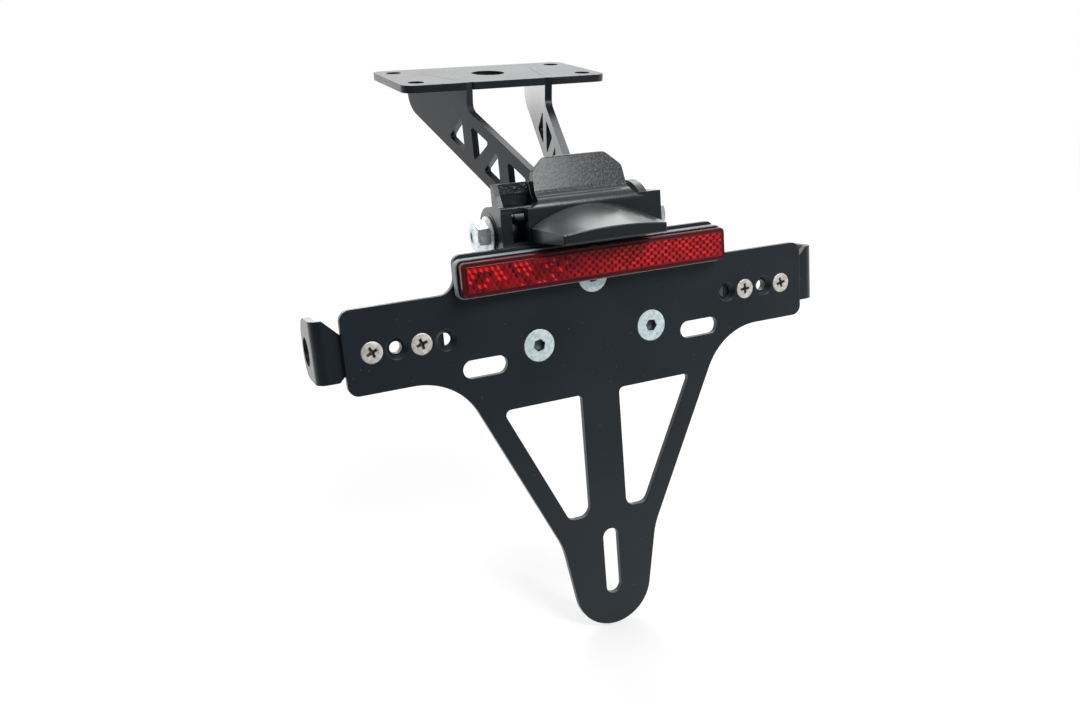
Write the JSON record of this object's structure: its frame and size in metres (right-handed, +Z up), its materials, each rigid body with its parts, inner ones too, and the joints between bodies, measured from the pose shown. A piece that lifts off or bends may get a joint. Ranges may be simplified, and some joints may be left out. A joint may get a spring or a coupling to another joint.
{
  "type": "tail tidy",
  "caption": "Folded-sheet licence-plate holder for a motorbike's tail, with a tilting plate carrier, a lamp hood, a red reflector and indicator brackets.",
  "frame": {"origin": "centre of the base plate's top face, at the middle of its four bolt holes and of its cable hole", "axes": "+X across, to the right seen from behind the bike; +Y forward, under the tail; +Z up, out of the base plate's top face. The reflector and the plate carrier face -Y."},
  "size_m": [0.2056, 0.1522, 0.1976],
  "materials": {
    "powder_coat": "satin black powder coat with a fine grain",
    "bright_zinc": "bright zinc plate",
    "blue_zinc": "blue zinc plate",
    "stainless": "plain stainless",
    "brass_insert": "knurled brass",
    "textured_moulding": "coarse leather grain, matte black",
    "smooth_moulding": "smooth satin black",
    "grey_moulding": "smooth dark grey",
    "black_rubber": "matte",
    "red_prism": "clear red over prisms",
    "clear_lens": "clear moulded lens",
    "circuit_board": "green solder mask",
    "diode": "yellow phosphor in a white case"
  },
  "bodies": {
    "base": {"base_plate": "powder_coat", "left_arm": "powder_coat", "right_arm": "powder_coat", "hinge_barrel": "powder_coat", "hinge_bolts": "bright_zinc"},
    "plate_head": {"lamp_housing": "textured_moulding", "hood_gasket": "black_rubber", "lamp_hood": "smooth_moulding", "lamp_lens": "clear_lens", "lamp_board": "circuit_board", "lamp_leds": "diode", "hood_screws": "bright_zinc", "lead_grommet": "black_rubber", "plate_carrier": "powder_coat", "reflector_pad": "black_rubber", "reflector_case": "grey_moulding", "reflector_seal": "black_rubber", "reflector_lens": "red_prism", "left_indicator_bracket": "powder_coat", "right_indicator_bracket": "powder_coat", "bracket_screws": "stainless", "bracket_nuts": "bright_zinc", "hub_screws": "blue_zinc", "hub_inserts": "brass_insert"}
  },
  "joints": [
    {"name": "plate_tilt", "type": "hinge", "parent": "base", "child": "plate_head", "pos_m": [0, -0.0808, -0.0457], "axis": [1, 0, 0], "range_deg": [-20, 25]}
  ]
}
